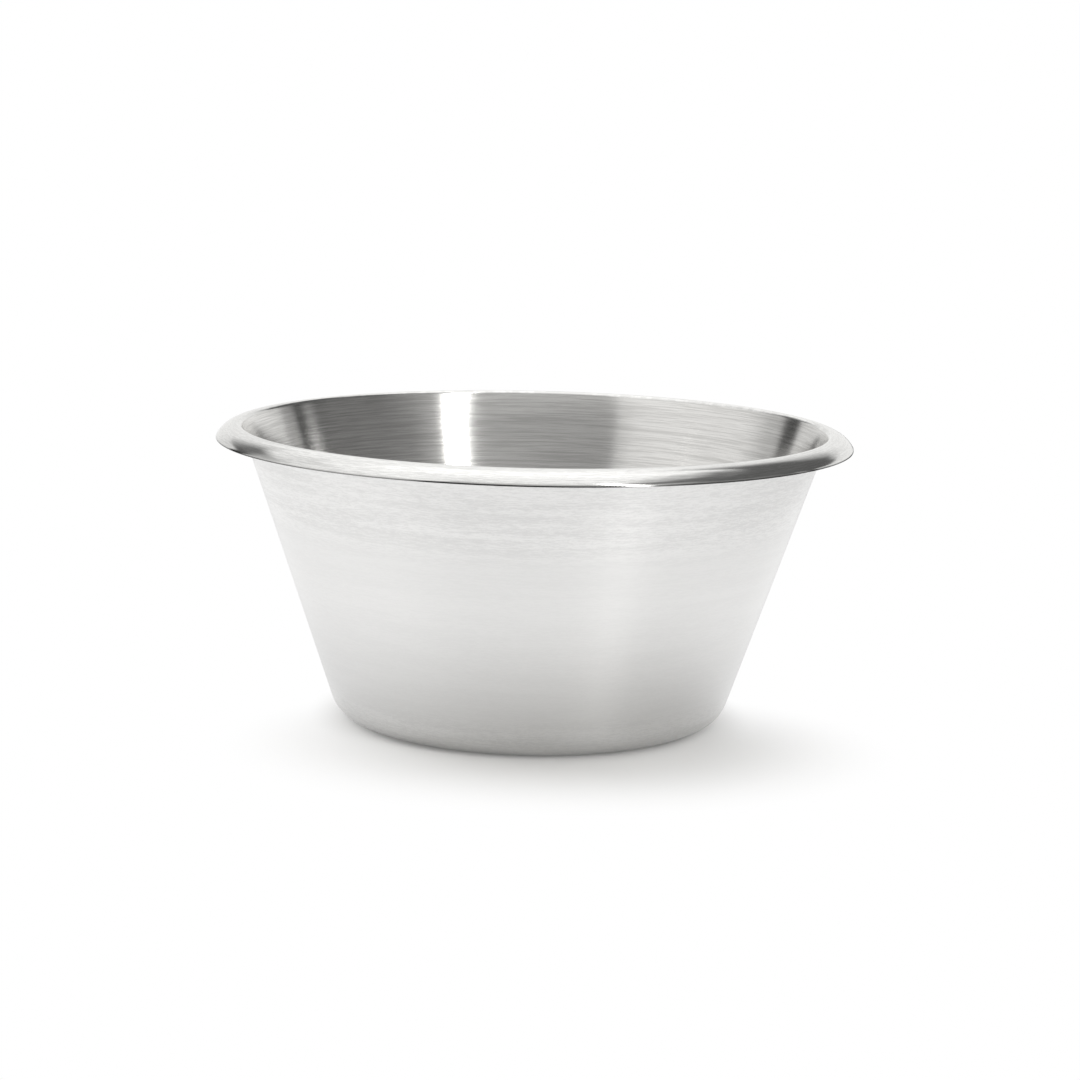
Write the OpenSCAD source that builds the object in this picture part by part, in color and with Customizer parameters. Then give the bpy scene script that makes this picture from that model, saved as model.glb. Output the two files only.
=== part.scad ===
// Conical pastry bowl spun from one steel sheet, with a flat bottom and an open rolled rim.
// Millimetres, Z up, origin at the centre of the bottom, on the table.

/* [Sheet] */
// Thickness of the steel sheet
sheet_t = 0.6; // [0.5:0.1:1.2]

/* [Bowl] */
// Outside diameter over the lip
rim_d = 240; // [210:1:400]
// Height from the table to the crest of the rim
bowl_h = 111.5; // [80:0.5:180]
// Diameter of the flat bottom
base_d = 129; // [90:1:150]
// Inside radius of the bend from the bottom to the wall
heel_r = 11.4; // [4:0.1:24]

/* [Rim] */
// Inside radius of the bend where the wall turns out into the lip
crest_r = 0.9; // [0.6:0.1:4]
// Reach of the lip from the crest to its outer edge
lip_w = 8.8; // [7.5:0.1:12]
// Drop of the lip from the crest to its cut edge
lip_drop = 5.2; // [4.2:0.1:6.5]
// Inside radius of the turned-down edge of the lip
lip_edge_r = 0.5; // [0.2:0.1:2]

/* [Hidden] */
$fn = 128;
steel = [0.78, 0.78, 0.77];

// Outer radii of the bends
heel_out = heel_r + sheet_t;
crest_out = crest_r + sheet_t;
edge_out = lip_edge_r + sheet_t;

// Radius of the circle along the top of the rim
crest_at = rim_d / 2 - lip_w;

// Centres of the two bends that the straight wall runs between, in the half section [radius, height]
heel_centre = [base_d / 2, heel_out];
crest_centre = [crest_at, bowl_h - crest_out];

// Lean of the wall from upright: its outer face touches the heel on one side and the crest bend on the other
bend_gap = crest_centre - heel_centre;
wall_lean = atan2(bend_gap.x, bend_gap.y) - asin((heel_out + crest_r) / norm(bend_gap));
wall_out = [cos(wall_lean), -sin(wall_lean)];
wall_foot = heel_centre + heel_out * wall_out;
wall_top = crest_centre - crest_r * wall_out;
crest_from = 180 - wall_lean;

// The lip is an oval quarter of two arcs: a wide one from the crest, then the tight turned-down edge
edge_centre = [rim_d / 2 - edge_out, bowl_h - lip_drop];
lip_out = (pow(lip_w, 2) + pow(lip_drop, 2) - 2 * lip_w * edge_out) / (2 * (lip_drop - edge_out));
lip_centre = [crest_at, bowl_h - lip_out];
lip_end = atan2(edge_centre.y - lip_centre.y, edge_centre.x - lip_centre.x);
crest_steps = 8;
lip_steps = 12;
edge_steps = 4;

function toward(angle) = [cos(angle), sin(angle)];

// Points along an arc of the half section, without its last one
function arc(centre, r, from, to, steps) =
    [for (i = [0 : steps - 1]) centre + r * toward(from + (to - from) * i / steps)];

// One zone of the sheet: its half section, turned round the bowl's axis
module spun(outline) {
    color(steel)
        rotate_extrude()
            polygon(outline);
}

// Flat bottom that the bowl stands on
module base() {
    color(steel)
        cylinder(h = sheet_t, d = base_d);
}

// Rounded corner from the bottom up to the wall
module heel() {
    reach = 2 * heel_out;
    color(steel)
        rotate_extrude()
            translate(heel_centre)
                intersection() {
                    difference() {
                        circle(r = heel_out);
                        circle(r = heel_r);
                    }
                    polygon([[0, 0], reach * toward(-90), reach * toward(-wall_lean)]);
                }
}

// Straight flared side
module wall() {
    spun([
        wall_foot,
        wall_top,
        wall_top - sheet_t * wall_out,
        wall_foot - sheet_t * wall_out
    ]);
}

// Tight bend at the mouth, where the wall turns outwards
module rim_crest() {
    spun(concat(
        arc(crest_centre, crest_out, crest_from, 90, crest_steps),
        [[crest_at, bowl_h]],
        arc(crest_centre, crest_r, 90, crest_from, crest_steps),
        [wall_top]
    ));
}

// Open rolled lip: its upper face out to the cut edge, then its underside back to the crest
module rim_lip() {
    spun(concat(
        arc(lip_centre, lip_out, 90, lip_end, lip_steps),
        arc(edge_centre, edge_out, lip_end, 0, edge_steps),
        [edge_centre + [edge_out, 0]],
        arc(edge_centre, lip_edge_r, 0, lip_end, edge_steps),
        arc(lip_centre, lip_out - sheet_t, lip_end, 90, lip_steps),
        [[crest_at, bowl_h - sheet_t]]
    ));
}

base();
heel();
wall();
rim_crest();
rim_lip();
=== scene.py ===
import math

import bpy
from mathutils import Matrix, Vector


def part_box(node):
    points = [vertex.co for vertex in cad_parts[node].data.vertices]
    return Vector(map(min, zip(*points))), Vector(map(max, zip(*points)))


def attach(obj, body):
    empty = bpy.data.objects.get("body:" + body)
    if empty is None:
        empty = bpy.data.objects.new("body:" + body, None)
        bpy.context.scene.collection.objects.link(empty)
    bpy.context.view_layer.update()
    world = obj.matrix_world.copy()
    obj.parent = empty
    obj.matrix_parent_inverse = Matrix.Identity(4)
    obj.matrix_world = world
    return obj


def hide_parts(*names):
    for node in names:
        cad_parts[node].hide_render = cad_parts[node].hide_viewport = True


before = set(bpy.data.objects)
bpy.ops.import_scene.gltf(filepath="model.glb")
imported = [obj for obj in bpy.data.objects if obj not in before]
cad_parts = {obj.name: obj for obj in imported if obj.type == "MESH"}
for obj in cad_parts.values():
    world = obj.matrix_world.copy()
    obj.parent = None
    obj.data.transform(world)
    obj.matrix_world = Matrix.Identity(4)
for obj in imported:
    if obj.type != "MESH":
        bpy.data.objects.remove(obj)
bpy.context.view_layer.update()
scene = bpy.context.scene
scene.view_settings.view_transform = "Standard"
print("frame loaded:", sorted(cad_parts))

# camera of the photograph, aimed at a point inside the bowl
shot = {
    "side": 1080,                    # pixels along one side of the picture
    "focal": 2648,                   # focal length in those pixels
    "distance": 1.009,               # metres from the aim
    "elevation": 9.9,                # degrees above the table
    "roll": 1.32,                    # degrees, the right side of the picture hangs lower
    "aim": (0.0028, 0.0, 0.0675),
    "sensor": 36.0,                  # millimetres
    "nearest": 0.01,                 # metres, nothing closer is drawn
}


def placeCamera():
    lens = bpy.data.cameras.new("photoCamera")
    lens.sensor_width = shot["sensor"]
    lens.lens = shot["sensor"] * shot["focal"] / shot["side"]
    lens.clip_start = shot["nearest"]
    tilt = Matrix.Rotation(math.radians(90 - shot["elevation"]), 4, "X")
    turn = tilt @ Matrix.Rotation(math.radians(shot["roll"]), 4, "Z")
    back = turn.to_3x3() @ Vector((0, 0, shot["distance"]))
    camera = bpy.data.objects.new("photoCamera", lens)
    camera.matrix_world = Matrix.Translation(Vector(shot["aim"]) + back) @ turn
    scene.collection.objects.link(camera)
    scene.camera = camera


placeCamera()
print("camera placed")


# sizes of the section, read from the frame
def arcRadius(run, rise):
    return (run * run + rise * rise) / (2 * rise)    # of an arc that starts level and climbs


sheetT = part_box("base")[1].z
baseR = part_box("base")[1].x
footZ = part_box("wall")[0].z
heelR = arcRadius(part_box("heel")[1].x - baseR, footZ)
lean = math.asin(1 - footZ / heelR)                  # of the wall, from upright
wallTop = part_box("wall")[1]
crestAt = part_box("rim_crest")[1].x                   # radius of the circle along the top
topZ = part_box("rim_crest")[1].z
crestR = arcRadius(crestAt - wallTop.x + sheetT * math.cos(lean), topZ - wallTop.z)
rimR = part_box("rim_lip")[1].x
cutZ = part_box("rim_lip")[0].z                        # height of the lip's cut edge


# small helpers for node trees
def wire(tree, value, socket):
    if isinstance(value, bpy.types.NodeSocket):
        tree.links.new(value, socket)
    else:
        socket.default_value = value


def addNode(tree, kind, settings=None, inputs=None):
    node = tree.nodes.new(kind)
    for name, value in (settings or {}).items():
        setattr(node, name, value)
    for name, value in (inputs or {}).items():
        wire(tree, value, node.inputs[name])
    return node


def operate(tree, kind, operation, values):
    node = addNode(tree, kind, {"operation": operation})
    for socket, value in zip(node.inputs, values):
        wire(tree, value, socket)
    return node.outputs


def calc(tree, operation, *values):
    return operate(tree, "ShaderNodeMath", operation, values)["Value"]


def calcWhole(tree, operation, *values):
    return operate(tree, "FunctionNodeIntegerMath", operation, values)[0]


def calcVector(tree, operation, *values):
    return operate(tree, "ShaderNodeVectorMath", operation, values)["Vector"]


def calcNumber(tree, operation, *values):            # a length or a dot product
    return operate(tree, "ShaderNodeVectorMath", operation, values)["Value"]


def rescale(tree, value, low, high, toLow=0.0, toHigh=1.0):
    node = addNode(tree, "ShaderNodeMapRange", {"interpolation_type": "SMOOTHSTEP"}, {
        "Value": value,
        "From Min": low,
        "From Max": high,
        "To Min": toLow,
        "To Max": toHigh,
    })
    return node.outputs["Result"]


def mixColours(tree, share, first, second):
    node = addNode(tree, "ShaderNodeMix", {"data_type": "RGBA"}, {"Factor": share})
    wire(tree, first, node.inputs[6])                # the node's colour sockets
    wire(tree, second, node.inputs[7])
    return node.outputs[2]


def mixShaders(tree, share, first, second):
    node = addNode(tree, "ShaderNodeMixShader", inputs={"Fac": share})
    wire(tree, first, node.inputs[1])
    wire(tree, second, node.inputs[2])
    return node.outputs["Shader"]


# lines that a spinning tool and a brush leave round the bowl, the same on every zone of the sheet
spunPattern = {
    "leastRadius": 0.0005,           # metres, the lines close up round the axis
    "detail": 3.0,
    "roughness": 0.6,
    "clip": (0.3, 0.7),              # of the noise, for clear lines
    "firstShift": 1.7,               # each layer of lines has its own place in the noise
    "nextShift": 3.5,
    "ringShift": 8.1,
    "ringBreaks": 0.4,
}


def makeSpunLines():
    group = bpy.data.node_groups.new("spunLines", "ShaderNodeTree")
    for name in ("Lines Per Metre", "Breaks Around", "Climb", "Shift"):
        group.interface.new_socket(name=name, in_out="INPUT", socket_type="NodeSocketFloat")
    group.interface.new_socket(name="Lines", in_out="OUTPUT", socket_type="NodeSocketFloat")
    given = addNode(group, "NodeGroupInput").outputs
    place = addNode(group, "ShaderNodeTexCoord").outputs["Object"]
    x, y, z = addNode(group, "ShaderNodeSeparateXYZ", inputs={"Vector": place}).outputs
    squares = calc(group, "ADD", calc(group, "MULTIPLY", x, x), calc(group, "MULTIPLY", y, y))
    radius = calc(group, "MAXIMUM", calc(group, "SQRT", squares), spunPattern["leastRadius"])
    perRadius = calc(group, "DIVIDE", given["Breaks Around"], radius)
    along = calc(group, "MULTIPLY_ADD", z, given["Climb"], radius)
    spun = addNode(group, "ShaderNodeCombineXYZ", inputs={
        "X": calc(group, "MULTIPLY", x, perRadius),
        "Y": calc(group, "MULTIPLY", y, perRadius),
        "Z": calc(group, "MULTIPLY", along, given["Lines Per Metre"]),
    })
    noise = addNode(group, "ShaderNodeTexNoise", {"noise_dimensions": "4D"}, {
        "Vector": spun.outputs["Vector"],
        "W": given["Shift"],
        "Scale": 1.0,
        "Detail": spunPattern["detail"],
        "Roughness": spunPattern["roughness"],
    })
    lines = rescale(group, noise.outputs["Fac"], *spunPattern["clip"])
    addNode(group, "NodeGroupOutput", inputs={"Lines": lines})
    return group


spunLines = makeSpunLines()


def linesOf(tree, perMetre, breaks, climb, shift):
    node = addNode(tree, "ShaderNodeGroup", {"node_tree": spunLines}, {
        "Lines Per Metre": perMetre,
        "Breaks Around": breaks,
        "Climb": climb,
        "Shift": shift,
    })
    return node.outputs["Lines"]


def makeSteel(name, look):
    material = bpy.data.materials.new(name)
    material.use_nodes = True
    tree = material.node_tree
    steel = tree.nodes["Principled BSDF"]
    lines = 0
    for layer, (perMetre, breaks, weight) in enumerate(look["lines"]):
        shift = spunPattern["firstShift"] + spunPattern["nextShift"] * layer
        marks = linesOf(tree, perMetre, breaks, look["climb"], shift)
        lines = calc(tree, "MULTIPLY_ADD", marks, weight, lines)
    lines = rescale(tree, lines, *look["contrast"])
    place = addNode(tree, "ShaderNodeTexCoord").outputs["Object"]
    height = addNode(tree, "ShaderNodeSeparateXYZ", inputs={"Vector": place}).outputs["Z"]
    if look["zones"]:
        # faint elsewhere, the lines grow to full strength over each of these heights
        share = look["elsewhere"]
        for low, high in look["zones"]:
            share = calc(tree, "ADD", share, rescale(tree, height, low, high, 0, 1 - look["elsewhere"]))
        lines = calc(tree, "MULTIPLY_ADD", calc(tree, "SUBTRACT", lines, 0.5), share, 0.5)
    tone = addNode(tree, "ShaderNodeValToRGB", inputs={"Fac": lines})
    tone.color_ramp.elements[0].color = (*look["dark"], 1)
    tone.color_ramp.elements[1].color = (*look["light"], 1)
    colour = tone.outputs["Color"]
    # the colour is scaled darker between two heights: painted shade at the foot of the outside, and a
    # darker turned edge on the rim
    if look["foot"]:
        darkenedBelow = addNode(tree, "ShaderNodeVectorMath", {"operation": "SCALE"}, {
            "Vector": colour, "Scale": rescale(tree, height, *look["foot"])})
        colour = darkenedBelow.outputs["Vector"]
    wire(tree, colour, steel.inputs["Base Color"])
    wire(tree, rescale(tree, lines, 0, 1, *look["roughness"]), steel.inputs["Roughness"])
    rings = linesOf(tree, look["ringsPerMetre"], spunPattern["ringBreaks"], look["climb"],
                    spunPattern["ringShift"])
    bump = addNode(tree, "ShaderNodeBump", inputs={
        "Height": rings, "Strength": look["bump"], "Distance": look["bumpDepth"]})
    wire(tree, bump.outputs["Normal"], steel.inputs["Normal"])
    around = addNode(tree, "ShaderNodeTangent", {"direction_type": "RADIAL", "axis": "Z"})
    wire(tree, around.outputs["Tangent"], steel.inputs["Tangent"])
    steel.inputs["Metallic"].default_value = 1.0
    steel.inputs["Anisotropic"].default_value = look["brushing"]
    steel.inputs["Anisotropic Rotation"].default_value = 0.25    # of a turn, light spreads across the lines
    return material


insideLook = {
    "dark": (0.65, 0.645, 0.635),
    "light": (0.82, 0.815, 0.805),
    "roughness": (0.188, 0.194),     # where the lines are dark, and where they are light
    "brushing": 0.95,
    "lines": (
        # how many to the metre up the sheet, how often they break round it, and their weight
        (700, 1.5, 0.3),
        (1600, 4.0, 0.4),
        (3000, 10.0, 0.3),
    ),
    "climb": 1,                      # the sheet rises on its way out
    "contrast": (0.27, 0.73),
    "ringsPerMetre": 700,            # long shallow waves that tilt the sheet a little
    "bump": 0.008,
    "bumpDepth": 0.0002,
    "zones": (),
    "foot": (),
}
outsideLook = dict(
    insideLook,
    dark=(0.79, 0.786, 0.777),
    light=(0.90, 0.896, 0.886),
    roughness=(0.33, 0.31),
    brushing=0.8,
    contrast=(0.2, 0.8),
    bump=0.02,
    lines=((260, 2.0, 0.3), (1700, 26.0, 0.4), (2800, 90.0, 0.3)),
    zones=((0.072, 0.086), (0.018, 0.006)),
    elsewhere=0.25,
    foot=(0.062, 0.006, 1.0, 0.76),  # painted shade: darker from this height down to this one, and by how much, for the floor's shadow that the foot mirrors
)
rimLook = dict(
    insideLook,
    dark=(0.72, 0.72, 0.715),
    light=(0.84, 0.84, 0.835),
    roughness=(0.14, 0.13),
    brushing=0.6,
    bump=0.02,
    lines=((1200, 5.0, 0.4), (2600, 30.0, 0.6)),
    climb=-1,                        # the lip falls on its way out
    foot=(cutZ + 0.0007, cutZ + 0.0002, 1.0, 0.4),   # the turned edge is darker towards its cut
)
insideSteel = makeSteel("insideSteel", insideLook)
outsideSteel = makeSteel("outsideSteel", outsideLook)
rimSteel = makeSteel("rimSteel", rimLook)
print("steel finishes made")

# a spun sheet: the closed outline of its section, turned round the upright axis
spin = {
    "stepsAround": 288,
    "weld": 1e-6,                    # metres, closes the seam and the middle of the base
    "sharpAngle": 40,                # degrees, only the cut edges stay sharp
}


def makeSpinTree():
    tree = bpy.data.node_groups.new("spinSheet", "GeometryNodeTree")
    kinds = {
        "Section": "NodeSocketGeometry",
        "Steps Around": "NodeSocketInt",
        "Inside Finish": "NodeSocketMaterial",
        "Outside Finish": "NodeSocketMaterial",
    }
    sockets = {}
    for name, kind in kinds.items():
        sockets[name] = tree.interface.new_socket(name=name, in_out="INPUT", socket_type=kind).identifier
    tree.interface.new_socket(name="Sheet", in_out="OUTPUT", socket_type="NodeSocketGeometry")
    given = addNode(tree, "NodeGroupInput").outputs

    # a grid with one row for each step round the axis, one column for each point of the section
    size = addNode(tree, "GeometryNodeAttributeDomainSize", inputs={"Geometry": given["Section"]})
    points = size.outputs["Point Count"]
    rowLength = calcWhole(tree, "ADD", points, 1)
    grid = addNode(tree, "GeometryNodeMeshGrid", inputs={
        "Vertices X": calcWhole(tree, "ADD", given["Steps Around"], 1), "Vertices Y": rowLength})
    index = addNode(tree, "GeometryNodeInputIndex").outputs["Index"]
    row = calcWhole(tree, "DIVIDE_FLOOR", index, rowLength)
    column = calcWhole(tree, "MODULO", calcWhole(tree, "MODULO", index, rowLength), points)
    here = addNode(tree, "GeometryNodeInputPosition").outputs["Position"]
    point = addNode(tree, "GeometryNodeSampleIndex", {"data_type": "FLOAT_VECTOR"}, {
        "Geometry": given["Section"], "Value": here, "Index": column}).outputs["Value"]
    angle = calc(tree, "DIVIDE", calc(tree, "MULTIPLY", row, math.tau), given["Steps Around"])
    turned = addNode(tree, "ShaderNodeVectorRotate", {"rotation_type": "Z_AXIS"}, {
        "Vector": point, "Angle": angle}).outputs["Vector"]
    placed = addNode(tree, "GeometryNodeSetPosition", inputs={
        "Geometry": grid.outputs["Mesh"], "Position": turned}).outputs["Geometry"]
    closed = addNode(tree, "GeometryNodeMergeByDistance", inputs={
        "Geometry": placed, "Distance": spin["weld"]}).outputs["Geometry"]

    # faces that look up or towards the axis belong to the inside of the bowl
    normal = addNode(tree, "GeometryNodeInputNormal").outputs["Normal"]
    inward = calcVector(tree, "NORMALIZE", calcVector(tree, "MULTIPLY", here, (-1, -1, 0)))
    inUp = calcVector(tree, "ADD", inward, (0, 0, 1))
    isInside = addNode(tree, "FunctionNodeCompare", {"data_type": "FLOAT", "operation": "GREATER_THAN"})
    wire(tree, calcNumber(tree, "DOT_PRODUCT", normal, inUp), isInside.inputs[0])
    isInside.inputs[1].default_value = 0.0

    real = addNode(tree, "GeometryNodeRealizeInstances", inputs={"Geometry": closed}).outputs["Geometry"]
    outside = addNode(tree, "GeometryNodeSetMaterial", inputs={
        "Geometry": real, "Material": given["Outside Finish"]}).outputs["Geometry"]
    inside = addNode(tree, "GeometryNodeSetMaterial", inputs={
        "Geometry": outside,
        "Selection": isInside.outputs["Result"],
        "Material": given["Inside Finish"],
    }).outputs["Geometry"]
    addNode(tree, "NodeGroupOutput", inputs={"Sheet": inside})
    return tree, sockets


spinTree, spinSockets = makeSpinTree()


def spinPiece(name, node, outline, insideFinish, outsideFinish):
    section = bpy.data.meshes.new(name + "Section")
    count = len(outline)
    edges = [(i, (i + 1) % count) for i in range(count)]
    section.from_pydata([(r, 0, z) for r, z in outline], edges, [])
    piece = bpy.data.objects.new(name, section)
    scene.collection.objects.link(piece)
    turning = piece.modifiers.new("spin", "NODES")
    turning.node_group = spinTree
    turning[spinSockets["Steps Around"]] = spin["stepsAround"]
    turning[spinSockets["Inside Finish"]] = insideFinish
    turning[spinSockets["Outside Finish"]] = outsideFinish
    bpy.context.view_layer.update()
    shaped = piece.evaluated_get(bpy.context.evaluated_depsgraph_get())
    sheet = bpy.data.meshes.new_from_object(shaped)
    piece.modifiers.remove(turning)
    piece.data = sheet
    bpy.data.meshes.remove(section)
    sheet.shade_smooth()
    sheet.set_sharp_from_angle(angle=math.radians(spin["sharpAngle"]))
    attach(piece, "root")
    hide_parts(node)
    print("spun", name, len(sheet.polygons), "faces")


# points along the section, as radius and height
def arcPoints(centre, radius, start, stop, steps):
    # closer together near both ends, so that the next zone carries on smoothly
    shares = [(1 - math.cos(math.pi * i / steps)) / 2 for i in range(steps + 1)]
    angles = [start + (stop - start) * share for share in shares]
    return [(centre[0] + radius * math.cos(a), centre[1] + radius * math.sin(a)) for a in angles]


def linePoints(start, stop, steps):
    shares = [i / steps for i in range(steps + 1)]
    return [(start[0] + (stop[0] - start[0]) * s, start[1] + (stop[1] - start[1]) * s) for s in shares]


# just below the crest the sheet leans out a little more than in the solids, so the mouth opens wider
flare = {
    "turn": math.radians(4),
    "run": 0.012,                    # metres of sheet
    "out": 0.0006,                   # metres that the crest moves out
    "steps": 8,
}
topLean = lean + flare["turn"]
flareR = flare["run"] / flare["turn"]
bendR = crestR * (1 - math.sin(lean)) + flare["out"] * math.cos(lean)
bendR = bendR - flareR * (1 - math.cos(flare["turn"]))
bendR = bendR / (math.cos(flare["turn"]) - math.sin(lean))
crestAt = crestAt + flare["out"]
bendAt = (crestAt, topZ - bendR)
print("crest bend", round(bendR * 1000, 2), "mm")

flatBase = {"rings": 12}


def makeBase():
    under = linePoints((0, 0), (baseR, 0), flatBase["rings"])
    over = linePoints((baseR, sheetT), (0, sheetT), flatBase["rings"])
    spinPiece("flat_base", "base", under + over, insideSteel, outsideSteel)


heelBend = {"steps": 24}


def makeHeel():
    centre = (baseR, heelR)
    outer = arcPoints(centre, heelR, -math.pi / 2, -lean, heelBend["steps"])
    inner = arcPoints(centre, heelR - sheetT, -lean, -math.pi / 2, heelBend["steps"])
    spinPiece("heel_bend", "heel", outer + inner, insideSteel, outsideSteel)


flaredWall = {"rings": 24}


def makeWall():
    def across(centre, radius, angle):
        return centre[0] + radius * math.cos(angle), centre[1] - radius * math.sin(angle)

    flareAt = across(bendAt, flareR - bendR, topLean)
    foot = across((baseR, heelR), heelR, lean)
    innerFoot = across((baseR, heelR), heelR - sheetT, lean)
    outer = linePoints(foot, across(flareAt, sheetT - flareR, lean), flaredWall["rings"])
    outer += arcPoints(flareAt, flareR - sheetT, math.pi - lean, math.pi - topLean, flare["steps"])[1:]
    inner = arcPoints(flareAt, flareR, math.pi - topLean, math.pi - lean, flare["steps"])
    inner += linePoints(inner[-1], innerFoot, flaredWall["rings"])[1:]
    spinPiece("flared_wall", "wall", outer + inner, insideSteel, outsideSteel)


crestBend = {"steps": 20}


def makeCrest():
    outer = arcPoints(bendAt, bendR, math.pi / 2, math.pi - topLean, crestBend["steps"])
    inner = arcPoints(bendAt, bendR - sheetT, math.pi - topLean, math.pi / 2, crestBend["steps"])
    spinPiece("crest_bend", "rim_crest", outer + inner, rimSteel, rimSteel)


rolledLip = {
    "edgeR": 0.0016,                 # outer radius of the turned-down edge
    "steps": 28,
    "edgeSteps": 12,
}


def makeLip():
    reach, drop, edgeR = rimR - crestAt, topZ - cutZ, rolledLip["edgeR"]
    lipR = (reach ** 2 + drop ** 2 - 2 * reach * edgeR) / (2 * (drop - edgeR))
    lipAt = (crestAt, topZ - lipR)
    edgeAt = (rimR - edgeR, cutZ)
    meet = math.atan2(edgeAt[1] - lipAt[1], edgeAt[0] - lipAt[0])
    steps, edgeSteps = rolledLip["steps"], rolledLip["edgeSteps"]
    upper = arcPoints(edgeAt, edgeR, 0, meet, edgeSteps)
    upper += arcPoints(lipAt, lipR, meet, math.pi / 2, steps)[1:]
    under = arcPoints(lipAt, lipR - sheetT, math.pi / 2, meet, steps)
    under += arcPoints(edgeAt, edgeR - sheetT, meet, 0, edgeSteps)[1:]
    spinPiece("rolled_lip", "rim_lip", upper + under, rimSteel, rimSteel)


for makePiece in (makeBase, makeHeel, makeWall, makeCrest, makeLip):
    makePiece()
print("bowl built")

# the room that the steel mirrors: rings of panels round the table, one above the other
# a panel is given by where it starts, where it stops and its level
# places are degrees round from the camera's side of the bowl, positive to the right
lowPanels = (
    (-124, -117, 0.60),              # white panel on the left
    (-104, -60, 0.90),
    (-44, -44, 0.82),
    (-40, 33, 0.05),                 # dark room in front
    (34.6, 39.2, 6.0),               # strip light
    (43, 43, 0.45),
    (56, 106, 0.19),                 # unlit side on the right
    (109, 112, 0.48),
    (115.5, 118.5, 0.07),            # gap beside the sweep
)
studio = {
    "rings": (
        # elevation over which a ring gives way to the next, then its panels
        ((-4, -1), ((-180, 180, 0.05),)),            # below the table
        ((14, 17), (
            (-180, -160, 0.90),      # white sweep behind
            (-150, -139, 0.78),
            (-136, -127, 0.05),      # gap beside the sweep
            *lowPanels,
            (121, 128, 0.62),
            (130.5, 180, 0.92),      # white sweep behind
        )),
        ((18, 22), (
            (-180, -160, 0.90),
            (-150, -150, 0.42),
            (-144, -144, 0.22),
            (-139, -127, 0.11),
            *lowPanels,
            (122, 142, 0.12),        # unlit side, further round
            (146, 146, 0.48),
            (150, 150, 0.68),
            (156, 156, 0.78),
            (165, 180, 0.90),
        )),
        ((29, 35), (
            (-180, -168, 1.1),
            (-152, -152, 0.55),
            (-148, -148, 0.36),
            (-142, -133, 0.18),
            (-129, -129, 0.28),
            (-124, -119, 0.52),
            (-104, -60, 0.90),
            (-39.5, -39.5, 0.78),
            (-36, -8, 0.28),
            (33, 33, 0.46),
            (34.6, 39.2, 10.0),      # strip light
            (43, 43, 0.55),
            (58, 85, 0.24),
            (90, 100, 0.22),
            (110, 146, 0.12),
            (150, 150, 0.28),
            (156, 156, 0.52),
            (160, 160, 0.64),
            (166, 166, 0.82),
            (175, 180, 1.05),
        )),
        ((46, 50), (
            (-180, -160, 1.1),
            (-140, -132, 0.95),
            (-118, -112, 0.85),
            (-100, -39.5, 0.98),
            (-36, 33, 0.64),
            (35.3, 40.0, 10.0),      # strip light
            (43, 62, 0.46),
            (80, 149, 0.13),
            (154, 154, 0.20),
            (158, 158, 0.36),
            (163, 163, 0.70),
            (168, 168, 1.04),
            (173, 180, 1.15),
        )),
        ((54, 60), (
            (-180, -60, 1.12),
            (-39.5, -39.5, 0.95),
            (-36, 33, 0.50),
            (35.3, 40.0, 8.0),       # strip light
            (43, 90, 0.15),
            (110, 124, 0.22),
            (136, 136, 0.40),
            (144, 144, 0.95),
            (152, 180, 1.2),
        )),
        ((62, 70), (
            (-180, -60, 1.2),
            (-40, 45, 1.07),
            (75, 115, 0.60),
            (130, 130, 0.90),
            (140, 180, 1.25),
        )),
    ),
    "above": 1.07,
    "tint": (1.0, 0.996, 0.98),      # of all its light
    "key": 1.3,                      # soft light overhead, a little behind the bowl
    "keyTurn": -176,
    "keyRise": 74,
    "keyHalf": (26, 18),             # degrees from its middle to where it ends, and to where it is full
}


def tinted(level):
    return (*(level * part for part in studio["tint"]), 1)


def ringLight(tree, share, panels):
    ring = addNode(tree, "ShaderNodeValToRGB", inputs={"Fac": share})
    stops = ring.color_ramp.elements
    while len(stops) > 1:
        stops.remove(stops[-1])
    for start, stop, level in panels:
        for angle in sorted({start, stop}):
            stops.new(angle / 360 + 0.5).color = tinted(level)
    stops.remove(stops[0])
    return ring.outputs["Color"]


def sines(angles):
    return [math.sin(math.radians(angle)) for angle in angles]


def cosines(angles):
    return [math.cos(math.radians(angle)) for angle in angles]


def makeRoom():
    world = bpy.data.worlds.new("studioRoom")
    world.use_nodes = True
    scene.world = world
    tree = world.node_tree
    tree.nodes.clear()
    way = addNode(tree, "ShaderNodeTexCoord").outputs["Generated"]
    x, y, z = addNode(tree, "ShaderNodeSeparateXYZ", inputs={"Vector": way}).outputs
    angle = calc(tree, "ARCTAN2", x, calc(tree, "MULTIPLY", y, -1))
    share = calc(tree, "MULTIPLY_ADD", angle, 1 / math.tau, 0.5)
    lit = tinted(studio["above"])
    for rise, panels in reversed(studio["rings"]):
        lit = mixColours(tree, rescale(tree, z, *sines(rise)), ringLight(tree, share, panels), lit)

    turn, rise = math.radians(studio["keyTurn"]), math.radians(studio["keyRise"])
    keyWay = (math.sin(turn) * math.cos(rise), -math.cos(turn) * math.cos(rise), math.sin(rise))
    key = rescale(tree, calcNumber(tree, "DOT_PRODUCT", way, keyWay), *cosines(studio["keyHalf"]))
    lit = mixColours(tree, key, lit, tinted(studio["key"]))

    room = addNode(tree, "ShaderNodeBackground", inputs={"Color": lit})
    white = addNode(tree, "ShaderNodeBackground", inputs={"Color": (1, 1, 1, 1), "Strength": 1.0})
    seen = addNode(tree, "ShaderNodeLightPath").outputs["Is Camera Ray"]
    pick = mixShaders(tree, seen, room.outputs["Background"], white.outputs["Background"])
    addNode(tree, "ShaderNodeOutputWorld", inputs={"Surface": pick})


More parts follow.
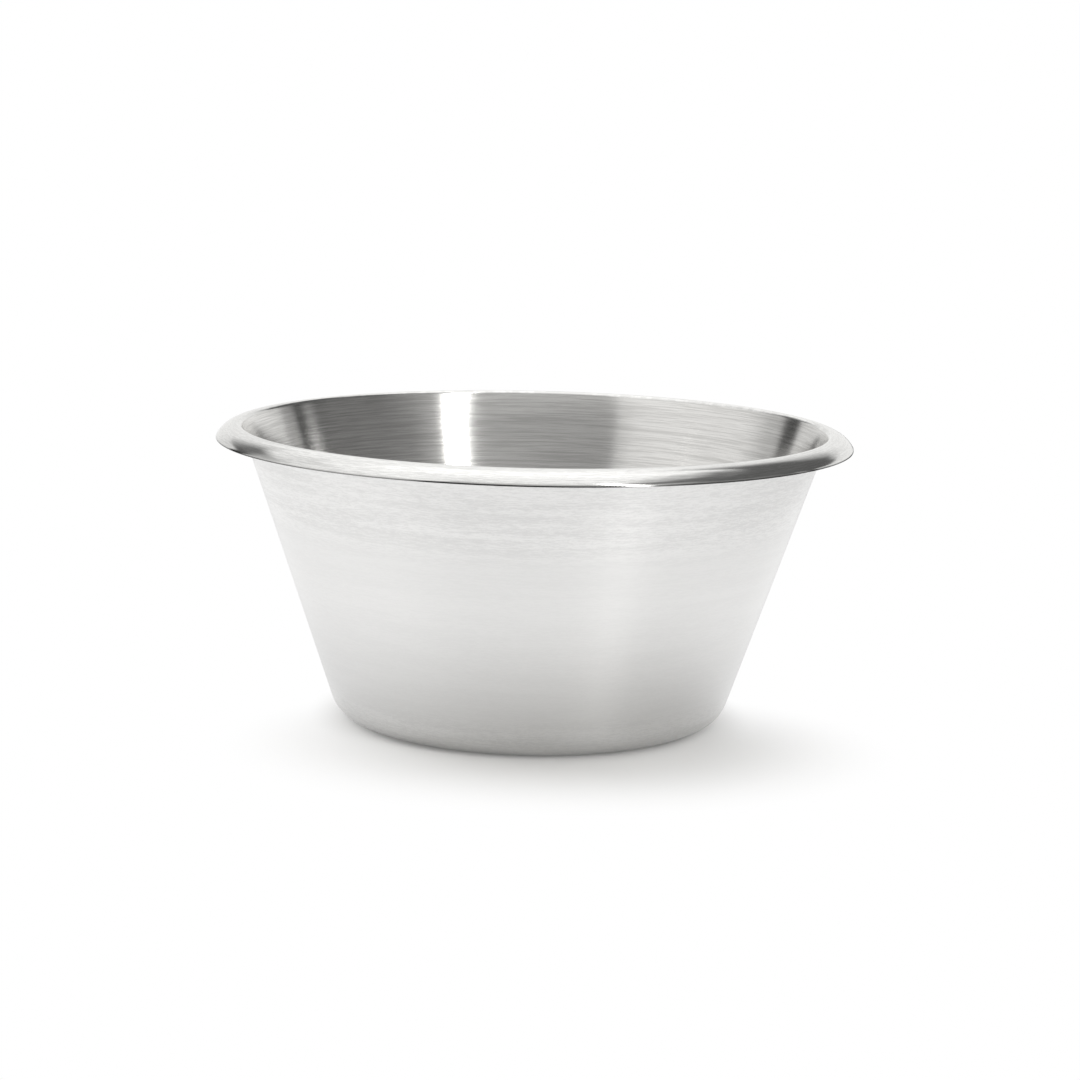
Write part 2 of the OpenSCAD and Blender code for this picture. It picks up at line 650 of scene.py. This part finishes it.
floorLook = {
    "behind": 12.0,                  # metres from the bowl to its far end
    "left": 0.8,
    "right": 0.40,                   # the room is darker on this side
    "front": 0.45,                   # and towards the camera
    "colour": (0.86, 0.857, 0.848),
    "roughness": 0.9,
    "shadowAt": (0.011, -0.05, 0.0),                 # middle of the shadow, in front of the bowl
    "shadowStretch": (1.0, 1.3, 1.0),
    "whiteFrom": (0.041, 0.126),     # metres from there, where the shadow gives way to plain white
    "whiteShare": 0.10,              # in the shadow
    "contact": (0.062, 0.086),       # metres from the axis, within which the bowl's own shadow stays
}


def makePaper():
    material = bpy.data.materials.new("palePaper")
    material.use_nodes = True
    tree = material.node_tree
    paper = tree.nodes["Principled BSDF"]
    paper.inputs["Base Color"].default_value = (*floorLook["colour"], 1)
    paper.inputs["Roughness"].default_value = floorLook["roughness"]
    paper.inputs["Specular IOR Level"].default_value = 0.0
    place = addNode(tree, "ShaderNodeTexCoord").outputs["Object"]
    away = calcVector(tree, "SUBTRACT", place, floorLook["shadowAt"])
    away = calcVector(tree, "MULTIPLY", away, floorLook["shadowStretch"])
    share = rescale(tree, calcNumber(tree, "LENGTH", place), *floorLook["contact"])
    outer = rescale(tree, calcNumber(tree, "LENGTH", away), *floorLook["whiteFrom"])
    share = calc(tree, "MULTIPLY", share, outer)
    share = calc(tree, "MULTIPLY_ADD", share, 1 - floorLook["whiteShare"], floorLook["whiteShare"])

    # the camera and the steel see the plain white, the light that the table gives stays real
    rays = addNode(tree, "ShaderNodeLightPath").outputs
    seen = calc(tree, "ADD", rays["Is Camera Ray"], rays["Is Glossy Ray"])
    seen = calc(tree, "ADD", seen, rays["Is Transmission Ray"])
    share = calc(tree, "MULTIPLY", seen, share)
    white = addNode(tree, "ShaderNodeEmission", inputs={"Color": (1, 1, 1, 1), "Strength": 1.0})
    pick = mixShaders(tree, share, paper.outputs["BSDF"], white.outputs["Emission"])
    wire(tree, pick, tree.nodes["Material Output"].inputs["Surface"])
    return material


def makeFloor():
    left, right = floorLook["left"], floorLook["right"]
    front, behind = floorLook["front"], floorLook["behind"]
    mesh = bpy.data.meshes.new("paleFloor")
    corners = [(-left, -front, 0), (right, -front, 0), (right, behind, 0), (-left, behind, 0)]
    mesh.from_pydata(corners, [], [(0, 1, 2, 3)])
    mesh.materials.append(makePaper())
    floor = bpy.data.objects.new("paleFloor", mesh)
    scene.collection.objects.link(floor)


# soft light from both sides that keeps the table white close to the bowl, and stays out of the steel
tableLook = {
    "turns": (-118, 118),            # degrees round from the camera's side
    "rise": 30,                      # degrees up
    "spread": 40,                    # degrees across
    "strength": 0.85,
}


def makeTableLights():
    for turn in tableLook["turns"]:
        lamp = bpy.data.lights.new("tableLight", "SUN")
        lamp.angle = math.radians(tableLook["spread"])
        lamp.energy = tableLook["strength"]
        light = bpy.data.objects.new("tableLight", lamp)
        light.rotation_euler = (math.radians(90 - tableLook["rise"]), 0, math.radians(turn))
        light.visible_glossy = False
        scene.collection.objects.link(light)


makeRoom()
makeFloor()
makeTableLights()
print("studio lit")
